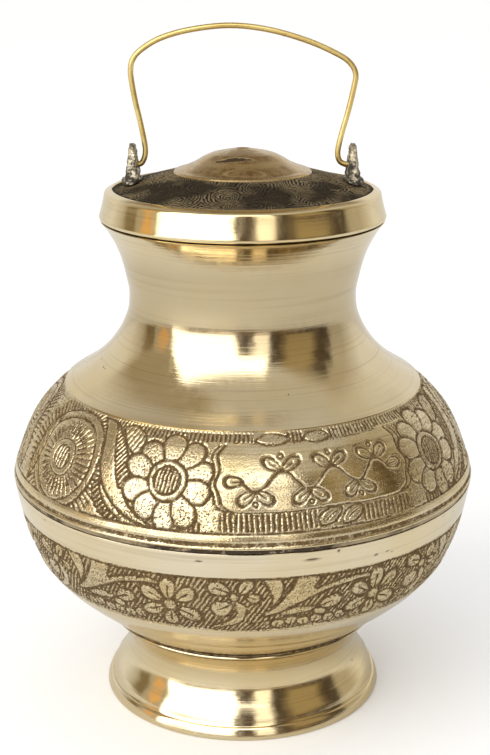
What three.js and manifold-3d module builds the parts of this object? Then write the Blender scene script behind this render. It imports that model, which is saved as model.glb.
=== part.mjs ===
// Lidded brass water pot on a flared foot, with a screw lid and a swinging wire bail.
// Millimetres, +Z up. The origin is the centre of the foot's bottom edge, and X runs
// through the two handle ears.
import * as THREE from "three";
import { mergeVertices } from "three/addons/utils/BufferGeometryUtils.js";
import Module from "manifold-3d";

const wasm = await Module();
wasm.setup();

// ---- Driving dimensions ----
const SIDES = 48; // facets round every turned piece
const WALL = 2.0; // cast wall of the pot

const FOOT_R = 37.0;
const FOOT_WALL = 1.8;
const FOOT_RING_IN = 33.9; // inner radius of the foot's standing ring

const BELLY_R = 60.0;
const BELLY_SEAM_Z = 61.6; // middle of the brazed seam between the two halves
const SEAM_GAP = 0.2; // air left on each side of a brazed ring

const MOUTH_Z = 127.5;
const MOUTH_R = 35.9;
const MOUTH_BORE_R = 29.2; // bore that takes the threaded ring
const MOUTH_BORE_Z = 116.7;
const RING_FIT = 0.3; // radial room between the ring and its bore

const PITCH = 3.0; // thread pitch
const PLUG_R = 26.1; // root radius of the lid's thread
const PLUG_WALL = 2.4;
const PLUG_CREST_R = 27.15;
const SOCKET_R = 27.5; // root radius of the mouth's thread
const SOCKET_CREST_R = 26.45;
const RIDGE_ROOT_HALF = 0.75; // half width of a thread ridge at its root
const RIDGE_CREST_HALF = 0.35;
const THREAD_START_Z = 118.3; // middle of the lid's thread where it begins
const PLUG_TURNS = 1.6;
const SOCKET_TURNS = 2.0;

const LID_GAP = 0.45; // open line between the mouth and the lid
const LID_R = 36.2;
const DISC_R = 32.8; // engraved disc on the lid
const DISC_EDGE_Z = 135.2;
const DOME_R = 17.2;
const DOME_Z = 139.4; // height of the dome's base
const LID_TOP_Z = 145.0;
const DISC_THICK = 2.2;

const PIVOT_Z = 140.9; // axis the bail swings on
const EAR_X = 27.5; // middle of each ear
const EAR_HALF_WIDTH = 5.6;
const EAR_TOP_R = 3.7;
const EAR_TOP_Z = 146.2;
const EAR_THICK = 3.0; // at the base
const EAR_TIP_THICK = 2.0;
const EAR_HOLE_R = 1.15;
const RIVET_R = 1.5; // shank through the lid
const RIVET_HEAD_R = 2.5;
const RIVET_FIT = 0.3;
const RIVET_HEAD_Z = 132.6; // underside of the peened head
const EAR_BOTTOM_Z = 135.0; // plate bottom before it is cut to the disc

const WIRE_R = 0.7;
const WIRE_SIDES = 8;
const WIRE_STEPS = 60;

// ---- Small helpers ----
// Smooth outline through a few [radius, height] stations, bottom to top.
function outline(stations, steps) {
  const curve = new THREE.SplineCurve(stations.map(([r, z]) => new THREE.Vector2(r, z)));
  return curve.getSpacedPoints(steps);
}

// The same outline moved inwards by the wall thickness.
function inset(points, wall) {
  return points.map((p, i) => {
    const before = points[Math.max(i - 1, 0)];
    const after = points[Math.min(i + 1, points.length - 1)];
    const along = after.clone().sub(before).normalize();
    const r = p.x - wall * along.y;
    return new THREE.Vector2(p.x < 1e-6 ? 0 : r, p.y + wall * along.x);
  });
}

// Turned solid: the profile runs up the outside and back down the inside.
function turned(profile) {
  const points = profile.map((p) => (Array.isArray(p) ? new THREE.Vector2(p[0], p[1]) : p));
  const onAxis = points[0].x < 1e-6 && points[points.length - 1].x < 1e-6;
  if (!onAxis) points.push(points[0].clone());
  return new THREE.LatheGeometry(points, SIDES).rotateX(Math.PI / 2);
}

function solid(geometry) {
  const bare = geometry.clone();
  bare.deleteAttribute("normal");
  bare.deleteAttribute("uv");
  const merged = mergeVertices(bare, 1e-5);
  const index = Array.from(merged.index.array);
  const tris = [];
  for (let i = 0; i < index.length; i += 3) {
    const [a, b, c] = [index[i], index[i + 1], index[i + 2]];
    if (a !== b && b !== c && c !== a) tris.push(a, b, c);
  }
  return new wasm.Manifold(new wasm.Mesh({
    numProp: 3,
    vertProperties: new Float32Array(merged.attributes.position.array),
    triVerts: new Uint32Array(tris),
  }));
}

function geometryOf(manifold) {
  const mesh = manifold.getMesh();
  const geometry = new THREE.BufferGeometry();
  geometry.setAttribute("position", new THREE.BufferAttribute(new Float32Array(mesh.vertProperties), 3));
  geometry.setIndex(new THREE.BufferAttribute(new Uint32Array(mesh.triVerts), 1));
  geometry.computeVertexNormals();
  return geometry;
}

// Upright cylinder between two heights, centred on (x, 0).
function post(x, radius, low, high, sides = 14) {
  const shape = new THREE.CylinderGeometry(radius, radius, high - low, sides);
  return solid(shape.rotateX(Math.PI / 2).translate(x, 0, (low + high) / 2));
}

// Right-hand thread ridge that grows out of a wall at rootR towards crestR
// and fades out over a quarter turn at both ends.
function ridge(rootR, crestR, startZ, turns) {
  const way = Math.sign(crestR - rootR);
  const buried = 0.4;
  const steps = Math.round(turns * SIDES);
  const fade = SIDES / 4;
  const positions = [];
  for (let i = 0; i <= steps; i++) {
    const angle = (i / SIDES) * 2 * Math.PI;
    const z = startZ + (i / SIDES) * PITCH;
    const grow = Math.min(1, i / fade, (steps - i) / fade);
    const top = rootR - way * 0.15 + way * grow * (Math.abs(crestR - rootR) + 0.15);
    const corners = [
      [rootR - way * buried, -RIDGE_ROOT_HALF],
      [top, -RIDGE_CREST_HALF],
      [top, RIDGE_CREST_HALF],
      [rootR - way * buried, RIDGE_ROOT_HALF],
    ];
    for (const [r, dz] of corners) positions.push(r * Math.cos(angle), r * Math.sin(angle), z + dz);
  }
  const faces = [];
  const tri = (a, b, c) => faces.push(...(way > 0 ? [a, b, c] : [a, c, b]));
  for (let i = 0; i < steps; i++) {
    for (let k = 0; k < 4; k++) {
      const a = 4 * i + k;
      const b = 4 * i + ((k + 1) % 4);
      tri(a, a + 4, b);
      tri(b, a + 4, b + 4);
    }
  }
  const last = 4 * steps;
  tri(0, 1, 2);
  tri(0, 2, 3);
  tri(last, last + 2, last + 1);
  tri(last, last + 3, last + 2);
  const geometry = new THREE.BufferGeometry();
  geometry.setAttribute("position", new THREE.Float32BufferAttribute(positions, 3));
  geometry.setIndex(faces);
  return solid(geometry);
}

const brass = (color, roughness) => new THREE.MeshStandardMaterial({ color, roughness, metalness: 1 });
const POLISHED = brass(0xc8b57f, 0.22);
const ENGRAVED = brass(0xa8935f, 0.42);
const BRAZE = brass(0x6d5a38, 0.6);
const AS_CAST = brass(0x8d8468, 0.7);
const WIRE_BRASS = brass(0xd0b25c, 0.3);
const WASHER = new THREE.MeshStandardMaterial({ color: 0x4a3a2a, roughness: 0.9, metalness: 0 });

const group = new THREE.Group();

function place(name, geometry, material, parent = group) {
  const mesh = new THREE.Mesh(geometry, material);
  mesh.name = name;
  parent.add(mesh);
  return mesh;
}

// Underside of the bowl where the foot is brazed to it.
const bowlUnder = (r) => 23.65 + (r - 36.0) * 0.34;
const SEAM_THICK = 0.45;

// ---- Foot: hollow flared stand brazed under the bowl ----
function footGeometry() {
  const lipDrop = 2 * SEAM_GAP + SEAM_THICK;
  const outside = [
    [FOOT_RING_IN, 0],
    [FOOT_R - 0.5, 0],
    [FOOT_R, 0.5],
    [36.7, 2.7],
    [36.2, 3.3],
    [35.6, 3.5],
    [33.1, 7.9],
    [31.6, 10.9],
    [31.1, 14.0],
    [31.8, 16.9],
    [33.3, 20.0],
    [34.8, 21.8],
    [35.5, 22.1],
    [35.5, bowlUnder(35.5) - lipDrop],
  ];
  const inside = [
    [32.4, bowlUnder(32.4) - lipDrop],
    [30.2, 17.6],
    [31.1 - FOOT_WALL, 14.0],
    [29.9, 10.5],
    [32.2, 6.0],
  ];
  return turned([...outside, ...inside]);
}

// ---- Ring of braze between the foot's lip and the bowl ----
function footSeamGeometry() {
  const inner = 32.6;
  const outer = 35.9;
  return turned([
    [inner, bowlUnder(inner) - SEAM_GAP - SEAM_THICK],
    [outer, bowlUnder(outer) - SEAM_GAP - SEAM_THICK],
    [outer, bowlUnder(outer) - SEAM_GAP],
    [inner, bowlUnder(inner) - SEAM_GAP],
  ]);
}

// ---- Lower bowl: dished bottom, cove above the foot and the lower half of the belly ----
function lowerBowlGeometry() {
  const dish = [[0, 19.4], [15, 19.8], [25, 20.7], [32, bowlUnder(32)], [36, bowlUnder(36)]];
  const side = [
    [36.0, bowlUnder(36)],
    [39.2, 26.1],
    [42.5, 29.0],
    [46.2, 32.0],
    [49.45, 35.0],
    [52.3, 38.2],
    [54.2, 41.0],
    [56.7, 47.0],
    [58.5, 53.6],
    [59.5, 58.8],
    [59.9, BELLY_SEAM_Z - 0.4 - SEAM_GAP],
  ];
  const all = [...outline(dish, 3), ...outline(side, 12).slice(1)];
  const coarse = [...outline(dish, 2), ...outline(side, 7).slice(1)];
  const inner = inset(coarse, WALL);
  const rim = inner[inner.length - 1];
  rim.y = BELLY_SEAM_Z - 0.4 - SEAM_GAP;
  return turned([...all, ...inner.reverse()]);
}

// ---- Ring of braze at the widest part of the belly ----
function bellySeamGeometry() {
  const half = 0.4;
  return turned([
    [BELLY_R - WALL - 0.1, BELLY_SEAM_Z - half],
    [BELLY_R - 0.25, BELLY_SEAM_Z - half],
    [BELLY_R - 0.25, BELLY_SEAM_Z + half],
    [BELLY_R - WALL - 0.1, BELLY_SEAM_Z + half],
  ]);
}

// ---- Upper body: upper half of the belly, shoulder, waisted neck and thick mouth ----
function upperBodyGeometry() {
  const low = BELLY_SEAM_Z + 0.4 + SEAM_GAP;
  const side = [
    [BELLY_R, low],
    [59.3, 65.1],
    [58.2, 68.1],
    [55.8, 74.1],
    [51.9, 80.1],
    [45.9, 85.6],
    [37.0, 92.2],
    [32.05, 98.2],
    [29.4, 104.2],
    [29.03, 108.2],
    [29.7, 113.2],
    [31.3, 119.3],
    [34.1, 125.1],
    [MOUTH_R, MOUTH_Z],
  ];
  const outside = outline(side, 20);
  const inner = inset(outline(side.slice(0, 11), 9), WALL);
  inner[0].y = low;
  const bore = [[27.9, MOUTH_BORE_Z], [MOUTH_BORE_R, MOUTH_BORE_Z], [MOUTH_BORE_R, MOUTH_Z]];
  return turned([...outside, ...bore.reverse(), ...inner.reverse()]);
}

// ---- Threaded ring brazed into the mouth ----
function mouthRingGeometry() {
  const low = MOUTH_BORE_Z + RING_FIT;
  const ring = turned([
    [SOCKET_R, low],
    [MOUTH_BORE_R - RING_FIT, low],
    [MOUTH_BORE_R - RING_FIT, MOUTH_Z - 0.2],
    [SOCKET_R, MOUTH_Z - 0.2],
  ]);
  const start = THREAD_START_Z + PITCH / 2;
  return geometryOf(solid(ring).add(ridge(SOCKET_R, SOCKET_CREST_R, start, SOCKET_TURNS)));
}

// ---- Sealing washer, held captive on the lid's plug ----
const WASHER_IN = PLUG_R + 0.45;
const WASHER_OUT = 33.4;
function washerGeometry() {
  const low = MOUTH_Z + 0.25;
  const high = low + 1.3;
  return turned([[WASHER_IN, low], [WASHER_OUT, low], [WASHER_OUT, high], [WASHER_IN, high]]);
}

// ---- Lid: polished rim, engraved disc and low dome in one casting ----
const FLANGE_R = 33.6;
const FLANGE_LOW = 129.3;
const FLANGE_HIGH = 131.0;
const discTop = (r) => DISC_EDGE_Z + ((DISC_R - r) * (DOME_Z - DISC_EDGE_Z)) / (DISC_R - DOME_R);
const discUnder = (r) => discTop(r) - DISC_THICK;

function lidSolid() {
  const low = MOUTH_Z + LID_GAP;
  const underside = [
    [0, 142.7],
    [6, 142.2],
    [11, 139.8],
    [16.5, discUnder(16.5)],
    [32.0, discUnder(32.0)],
    [32.4, FLANGE_HIGH + 0.3],
    [FLANGE_R + 0.3, FLANGE_HIGH + 0.3],
    [FLANGE_R + 0.3, low],
  ];
  const outside = [
    [LID_R - 0.35, low],
    [LID_R, low + 0.45],
    [35.4, 131.3],
    [34.8, 134.2],
    [34.5, 134.6],
    [33.1, 135.35],
    [DISC_R, DISC_EDGE_Z],
    [DOME_R + 0.1, DOME_Z],
    [DOME_R - 0.2, DOME_Z + 0.25],
    [14.3, 140.6],
    [12.0, 141.6],
    [9.2, 143.2],
    [7.4, 143.95],
    [3.5, 144.75],
    [1.1, LID_TOP_Z],
    [0.5, LID_TOP_Z - 0.35],
    [0, LID_TOP_Z - 0.4],
  ];
  return solid(turned([...underside, ...outside]));
}

function lidGeometry() {
  let lid = lidSolid();
  for (const side of [-1, 1]) {
    lid = lid.subtract(post(side * EAR_X, RIVET_R + RIVET_FIT, 130.5, 140));
  }
  return geometryOf(lid);
}

// ---- Flanged plug soldered inside the lid, with the lid's thread ----
function plugGeometry() {
  const low = 116.4;
  const plug = turned([
    [PLUG_R - PLUG_WALL, low],
    [PLUG_R - 0.4, low],
    [PLUG_R, low + 0.4],
    [PLUG_R, FLANGE_LOW],
    [FLANGE_R, FLANGE_LOW],
    [FLANGE_R, FLANGE_HIGH],
    [PLUG_R - PLUG_WALL, FLANGE_HIGH],
  ]);
  return geometryOf(solid(plug).add(ridge(PLUG_R, PLUG_CREST_R, THREAD_START_Z, PLUG_TURNS)));
}

// ---- Ears: rough cast lugs riveted through the lid, each with a hole for the bail ----
function earOutline() {
  const topZ = EAR_TOP_Z - EAR_TOP_R;
  const shape = new THREE.Shape();
  shape.moveTo(-EAR_HALF_WIDTH, EAR_BOTTOM_Z);
  shape.lineTo(EAR_HALF_WIDTH, EAR_BOTTOM_Z);
  shape.lineTo(EAR_HALF_WIDTH, 138.0);
  shape.lineTo(EAR_TOP_R, topZ + 0.4);
  shape.absarc(0, topZ, EAR_TOP_R, 0.1, Math.PI - 0.1, false);
  shape.lineTo(-EAR_HALF_WIDTH, 138.0);
  shape.closePath();
  const hole = new THREE.Path();
  hole.absarc(0, PIVOT_Z, EAR_HOLE_R, 0, 2 * Math.PI, true);
  shape.holes.push(hole);
  return shape;
}

function earGeometry(side) {
  const bevel = 0.35;
  const plate = new THREE.ExtrudeGeometry(earOutline(), {
    depth: EAR_THICK - 2 * bevel,
    bevelEnabled: true,
    bevelThickness: bevel,
    bevelSize: bevel,
    bevelOffset: -bevel,
    bevelSegments: 1,
    curveSegments: 6,
  });
  plate.translate(0, 0, -(EAR_THICK - 2 * bevel) / 2);
  // Shape plane XY becomes YZ, and the depth runs along X.
  plate.applyMatrix4(new THREE.Matrix4().set(0, 0, 1, 0, 1, 0, 0, 0, 0, 1, 0, 0, 0, 0, 0, 1));
  const spots = plate.attributes.position;
  for (let i = 0; i < spots.count; i++) {
    const up = THREE.MathUtils.clamp((spots.getZ(i) - 137) / (EAR_TOP_Z - 137), 0, 1);
    const thick = THREE.MathUtils.lerp(EAR_THICK, EAR_TIP_THICK, up) / EAR_THICK;
    spots.setX(i, spots.getX(i) * thick);
  }
  plate.translate(side * EAR_X, 0, 0);
  const padRise = 1.5;
  const pad = new THREE.SphereGeometry(1, 14, 8).scale(2.9, EAR_HALF_WIDTH + 0.9, padRise);
  pad.translate(side * EAR_X, 0, discTop(EAR_X) + 0.1);
  const head = post(side * EAR_X, RIVET_HEAD_R, RIVET_HEAD_Z, EAR_BOTTOM_Z + 1);
  const grown = RIVET_FIT - 0.05;
  const disc = solid(turned([
    [20, discUnder(20) - grown],
    [33.5, discUnder(33.5) - grown],
    [33.5, discTop(33.5) + grown],
    [20, discTop(20) + grown],
  ]));
  const shank = post(side * EAR_X, RIVET_R, RIVET_HEAD_Z + 0.5, discTop(EAR_X) + 1);
  return geometryOf(solid(plate).add(solid(pad)).add(head).subtract(disc).add(shank));
}

// ---- Bail: one bent wire with its ends turned out into the ears ----
const BAIL_STATIONS = [
  [-28.3, PIVOT_Z],
  [-26.4, PIVOT_Z],
  [-25.3, 141.25],
  [-24.55, 142.6],
  [-24.25, 144.5],
  [-24.55, 147.0],
  [-25.5, 151.9],
  [-26.6, 156.8],
  [-27.4, 161.7],
  [-27.55, 164.1],
  [-27.05, 166.5],
  [-25.1, 168.85],
  [-20.2, 171.75],
  [-12.85, 173.8],
  [-3.1, 174.85],
  [6.65, 173.75],
  [16.45, 170.95],
  [23.85, 167.65],
  [26.6, 165.6],
  [27.8, 163.2],
  [27.55, 160.5],
  [26.2, 154.35],
  [24.85, 149.4],
  [23.85, 145.2],
  [23.75, 143.2],
  [24.3, 141.7],
  [25.5, 141.0],
  [26.6, PIVOT_Z],
  [28.3, PIVOT_Z],
];

function bailGeometry() {
  const path = new THREE.CatmullRomCurve3(
    BAIL_STATIONS.map(([x, z]) => new THREE.Vector3(x, 0, z)), false, "centripetal");
  const section = new THREE.Shape();
  for (let i = 0; i < WIRE_SIDES; i++) {
    const angle = (i / WIRE_SIDES) * 2 * Math.PI;
    section[i ? "lineTo" : "moveTo"](WIRE_R * Math.cos(angle), WIRE_R * Math.sin(angle));
  }
  section.closePath();
  return new THREE.ExtrudeGeometry(section, { steps: WIRE_STEPS, extrudePath: path });
}

// ---- Assembly ----
const pot = new THREE.Group();
place("foot", footGeometry(), POLISHED, pot);
place("foot_braze_seam", footSeamGeometry(), BRAZE, pot);
place("lower_bowl", lowerBowlGeometry(), ENGRAVED, pot);
place("belly_braze_seam", bellySeamGeometry(), BRAZE, pot);
place("upper_body", upperBodyGeometry(), ENGRAVED, pot);
place("mouth_thread_ring", mouthRingGeometry(), POLISHED, pot);

const lid = new THREE.Group();
place("seal_washer", washerGeometry(), WASHER, lid);
place("lid_cap", lidGeometry(), POLISHED, lid);
place("lid_thread_plug", plugGeometry(), POLISHED, lid);
place("ear_left", earGeometry(-1), AS_CAST, lid);
place("ear_right", earGeometry(1), AS_CAST, lid);
place("bail_wire", bailGeometry(), WIRE_BRASS, lid);

group.add(pot, lid);

export default group;
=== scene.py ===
"""A lidded brass water pot on a flared foot, with a screw lid and a swinging wire bail."""
import math

import bmesh
import bpy
import numpy as np
from mathutils import Matrix, Vector, noise


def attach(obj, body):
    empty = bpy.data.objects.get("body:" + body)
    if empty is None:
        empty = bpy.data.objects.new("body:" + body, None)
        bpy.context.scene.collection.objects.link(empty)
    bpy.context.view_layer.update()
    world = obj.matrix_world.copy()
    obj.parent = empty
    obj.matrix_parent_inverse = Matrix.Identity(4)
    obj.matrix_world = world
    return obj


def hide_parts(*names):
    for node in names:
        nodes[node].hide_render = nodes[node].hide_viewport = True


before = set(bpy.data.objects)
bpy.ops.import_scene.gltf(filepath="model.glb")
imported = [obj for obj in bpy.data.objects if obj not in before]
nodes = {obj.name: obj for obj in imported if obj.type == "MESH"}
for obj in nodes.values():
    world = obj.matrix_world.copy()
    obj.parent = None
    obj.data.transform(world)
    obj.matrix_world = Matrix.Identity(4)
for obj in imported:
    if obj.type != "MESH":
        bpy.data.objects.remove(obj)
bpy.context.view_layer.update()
MM = 0.001
SAME_PLACE = 1e-6

# ---------------------------------------------------------------- Foot
# The stand is one hollow casting, turned true all round and polished. Its lip
# is brazed under the bowl, and it stands on a narrow flat ring.
FOOT_STEPS = 288
CURVE_STEPS = 24
WEDGE_STEPS = 4
SHARP_DEGREES = 38
QUARTER_TURN = 0.25
foot_outside = [
    (33.9, 0.0), (36.5, 0.0), (36.85, 0.15), (37.0, 0.55), (36.9, 1.1), (36.5, 2.2), (36.15, 2.95),
    (35.9, 3.2), (35.6, 3.25), (35.42, 3.5), (35.25, 4.2), (34.4, 6.2), (33.1, 8.0), (32.2, 9.5),
    (31.6, 10.9), (31.2, 12.4), (31.1, 14.0), (31.25, 15.4), (31.8, 16.9), (32.5, 18.4),
    (33.4, 20.0), (34.3, 21.2), (35.0, 21.75), (35.4, 22.0), (35.55, 22.35), (35.45, 22.55)]
foot_inside = [(32.4, 21.58), (31.2, 19.8), (29.9, 17.0), (29.3, 14.0), (29.9, 10.5), (32.2, 6.0)]


def smooth_outline(stations, spacing):
    """Even points, about `spacing` mm apart, along a smooth line through [radius, height] stations."""
    p = np.array(stations, float)
    p = np.vstack([2 * p[0] - p[1], p, 2 * p[-1] - p[-2]])
    t = np.linspace(0, 1, CURVE_STEPS, endpoint=False)[:, None]
    parts = []
    for a, b, c, d in zip(p[:-3], p[1:-2], p[2:-1], p[3:]):
        curved = (2 * a - 5 * b + 4 * c - d) * t**2 + (3 * b - a - 3 * c + d) * t**3
        parts.append(0.5 * (2 * b + (c - a) * t + curved))
    fine = np.vstack(parts + [p[-2:-1]])
    run = run_along(fine)
    even = np.linspace(0, run[-1], max(2, round(run[-1] / spacing) + 1))
    return [(float(np.interp(s, run, fine[:, 0])), float(np.interp(s, run, fine[:, 1]))) for s in even]


def run_along(line):
    """How far along a line each of its points lies, in mm."""
    return np.concatenate([[0], np.cumsum(np.hypot(*np.diff(line, axis=0).T))])


def turned(name, outline, steps, start=0.0, sweep=math.tau, carved=0):
    """Turns an outline in mm about Z. The outline closes on itself unless both ends are on the axis.
    Its first `carved` points get the attribute "across", their way in mm along the outline."""
    bm = bmesh.new()
    across = bm.verts.layers.float.new("across")
    way = run_along(np.array(outline))
    verts = [bm.verts.new((r * MM * math.sin(start), -r * MM * math.cos(start), z * MM)) for r, z in outline]
    for k, v in enumerate(verts):
        v[across] = way[k] if k < carved else -1
    edges = [bm.edges.new(pair) for pair in zip(verts, verts[1:])]
    if outline[0][0] > 0 or outline[-1][0] > 0:
        edges.append(bm.edges.new((verts[-1], verts[0])))
    # A few steps are spun, and the wedge they make is then doubled until the sweep is full.
    done = steps
    while done % 2 == 0 and done > WEDGE_STEPS:
        done //= 2
    wedge = sweep * done / steps
    bmesh.ops.spin(
        bm, geom=verts + edges, cent=(0, 0, 0), axis=(0, 0, 1), angle=wedge, steps=done, use_duplicate=False)
    while done < steps:
        copy = bmesh.ops.duplicate(bm, geom=bm.verts[:] + bm.edges[:] + bm.faces[:])["geom"]
        copied = [v for v in copy if isinstance(v, bmesh.types.BMVert)]
        on = Matrix.Rotation(sweep * done / steps, 3, "Z")
        bmesh.ops.rotate(bm, cent=(0, 0, 0), matrix=on, verts=copied)
        done *= 2
    bmesh.ops.remove_doubles(bm, verts=bm.verts, dist=SAME_PLACE)
    if sweep < math.tau:
        bmesh.ops.holes_fill(bm, edges=[e for e in bm.edges if e.is_boundary], sides=0)
    return finished(name, bm, SHARP_DEGREES)


def finished(name, bm, sharp_degrees):
    """Makes the piece from its bmesh, shaded smooth but for edges sharper than the angle."""
    bmesh.ops.recalc_face_normals(bm, faces=bm.faces)
    mesh = bpy.data.meshes.new(name)
    bm.to_mesh(mesh)
    bm.free()
    mesh.shade_smooth()
    mesh.set_sharp_from_angle(angle=math.radians(sharp_degrees))
    piece = bpy.data.objects.new(name, mesh)
    bpy.context.scene.collection.objects.link(piece)
    return piece


def fit(piece, finish, node, body):
    """Gives a new piece its finish, and puts it on its body in place of a CAD node."""
    piece.data.materials.append(finish)
    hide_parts(node)
    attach(piece, body)


def refinish(name, finish):
    """Gives a carried-over CAD node its finish."""
    nodes[name].data.materials.clear()
    nodes[name].data.materials.append(finish)


class Wiring:
    """A node tree that is wired up node by node."""

    def __init__(self, tree):
        self.tree = tree

    def node(self, kind, **settings):
        made = self.tree.nodes.new(kind)
        for key, value in settings.items():
            if key in made.inputs:
                self.feed(made.inputs[key], value)
            else:
                setattr(made, key, value)
        return made

    def feed(self, socket, value):
        if isinstance(value, bpy.types.NodeSocket):
            self.tree.links.new(value, socket)
        else:
            socket.default_value = value

    def ramp(self, value, low, high, out_low=0.0, out_high=1.0):
        made = self.node("ShaderNodeMapRange", Value=value)
        for key, number in (("From Min", low), ("From Max", high), ("To Min", out_low), ("To Max", out_high)):
            made.inputs[key].default_value = number
        return made.outputs[0]

    def math(self, operation, a, b=0.0):
        made = self.node("ShaderNodeMath", operation=operation)
        self.feed(made.inputs[0], a)
        self.feed(made.inputs[1], b)
        return made.outputs[0]

    def blend(self, amount, first, second):
        made = self.node("ShaderNodeMix", data_type="RGBA")
        self.feed(made.inputs["Factor"], amount)
        for socket, value in ((made.inputs[6], first), (made.inputs[7], second)):
            self.feed(socket, value if isinstance(value, bpy.types.NodeSocket) else (*value, 1.0))
        return made.outputs[2]


class Finish(Wiring):
    """A material for one kind of surface, read in Object coordinates."""

    def __init__(self, name):
        self.material = bpy.data.materials.new(name)
        self.material.use_nodes = True
        super().__init__(self.material.node_tree)
        self.shader = self.tree.nodes["Principled BSDF"]
        self.coords = self.node("ShaderNodeTexCoord").outputs["Object"]

    def lathe_coords(self):
        """X, the radius and the height, so that a stretched noise runs in rings round the axis."""
        split = self.node("ShaderNodeSeparateXYZ", Vector=self.coords)
        x, y, z = split.outputs
        radius = self.math("SQRT", self.math("ADD", self.math("MULTIPLY", x, x), self.math("MULTIPLY", y, y)))
        return self.node("ShaderNodeCombineXYZ", X=x, Y=radius, Z=z).outputs[0]

    def noise(self, scale, detail=3.0, stretch=(1, 1, 1), rough=0.55, coords=None):
        place = self.node("ShaderNodeMapping", Vector=coords or self.coords, Scale=stretch).outputs[0]
        made = self.node("ShaderNodeTexNoise", Vector=place, Scale=scale, Detail=detail, Roughness=rough)
        return made.outputs["Fac"]

    def height(self):
        return self.node("ShaderNodeSeparateXYZ", Vector=self.coords).outputs[2]

    def attribute(self, name):
        return self.node("ShaderNodeAttribute", attribute_name=name).outputs["Fac"]

    def bump(self, height, distance, strength=1.0, after=None):
        made = self.node("ShaderNodeBump", Height=height, Distance=distance, Strength=strength)
        if after is not None:
            self.feed(made.inputs["Normal"], after)
        return made.outputs[0]

    def brush_round(self, amount):
        """Stretches the gloss across the tool's rings, as fine turning marks do."""
        ahead = self.node("ShaderNodeVectorMath", operation="CROSS_PRODUCT")
        ahead.inputs[0].default_value = (0, 0, 1)
        self.feed(ahead.inputs[1], self.coords)
        way = self.node("ShaderNodeVectorTransform", Vector=ahead.outputs[0])
        way.convert_from = "OBJECT"
        way.convert_to = "WORLD"
        self.feed(self.shader.inputs["Tangent"], way.outputs[0])
        self.shader.inputs["Anisotropic"].default_value = amount
        self.shader.inputs["Anisotropic Rotation"].default_value = QUARTER_TURN

    def wear(self, color, roughness, normal=None, metallic=1.0):
        for key, value in (("Base Color", color), ("Roughness", roughness), ("Metallic", metallic)):
            self.feed(self.shader.inputs[key], (*value, 1.0) if isinstance(value, tuple) else value)
        if normal is not None:
            self.feed(self.shader.inputs["Normal"], normal)
        return self.material


CLEAN_BRASS = (0.80, 0.69, 0.47)
WARM_BRASS = (0.77, 0.62, 0.34)
TARNISH = (0.30, 0.205, 0.10)
# Dull brass: the braze's own colour, and also the colour of the painted shade band up the neck.
DULL_BRASS_AND_SHADE = (0.41, 0.33, 0.205)
GRIME = (0.045, 0.028, 0.014)
BUFFED = 0.6
GRIME_IOR = 1.2


def lathe_polish(name, line_depth, roughness, clean=CLEAN_BRASS, warm=WARM_BRASS, shaded_band=None):
    """Turned and buffed brass: fine rings left by the tool, cloudy colour, a few dull spots and pits.
    The last argument gives the heights where a band of painted shade fades in and out again: darker brass
    standing in for a darker reflection."""
    f = Finish(name)
    lathe = f.lathe_coords()
    fine_rings = f.noise(1.0, 3.0, (70, 4200, 4200), coords=lathe)
    rings = f.noise(1.0, 3.0, (22, 1300, 1300), coords=lathe)
    clouds = f.noise(38.0, 4.0)
    smears = f.noise(1.0, 4.0, (620, 620, 110))
    pits = f.node("ShaderNodeTexVoronoi", Vector=f.coords, Scale=230.0).outputs["Distance"]
    pit = f.math("MULTIPLY", f.ramp(pits, 0.085, 0.045), f.ramp(f.noise(35.0, 1.0), 0.58, 0.66))
    flaw = f.math("MAXIMUM", pit, f.attribute("filler"))
    color = f.blend(f.ramp(clouds, 0.35, 0.68, 0.0, 0.85), clean, warm)
    color = f.blend(f.ramp(rings, 0.52, 0.74, 0.0, 0.27), color, TARNISH)
    # Painted shade: between the given heights the colour is pulled towards dull brass, standing in for a
    # darker reflection.
    if shaded_band:
        start, full, last, end = shaded_band
        painted_shade = f.math("MULTIPLY", f.ramp(f.height(), start, full), f.ramp(f.height(), end, last))
        color = f.blend(f.math("MULTIPLY", painted_shade, 0.45), color, DULL_BRASS_AND_SHADE)
    color = f.blend(flaw, color, GRIME)
    rough = f.ramp(smears, 0.35, 0.7, roughness * 0.7, roughness * 1.6)
    rough = f.math("ADD", rough, f.math("MULTIPLY", flaw, 0.5))
    normal = f.bump(f.math("ADD", f.math("MULTIPLY", fine_rings, 0.45), rings), line_depth)
    normal = f.bump(f.noise(60.0, 2.0), 0.00012, 0.3, normal)
    f.brush_round(BUFFED)
    f.shader.inputs["IOR"].default_value = GRIME_IOR
    return f.wear(color, rough, normal, f.ramp(flaw, 0.0, 1.0, 1.0, 0.05))


foot_finish = lathe_polish("turned_foot_brass", 0.00003, 0.11)
foot = turned("turned_foot", foot_outside + foot_inside, FOOT_STEPS)
fit(foot, foot_finish, "foot", "pot")

# ---------------------------------------------------------------- Braze under the bowl
# A thin run of brazing metal fills the joint between the foot's lip and the
# bowl. It is duller and darker than the turned brass on either side.
f = Finish("dull_braze")
grain = f.noise(900.0, 4.0)
braze_color = f.blend(f.ramp(grain, 0.35, 0.65), TARNISH, GRIME)
braze_rough = f.ramp(f.noise(300.0), 0.3, 0.7, 0.45, 0.75)
braze_finish = f.wear(braze_color, braze_rough, f.bump(grain, 0.0002), 0.8)
refinish("foot_braze_seam", braze_finish)

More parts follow.
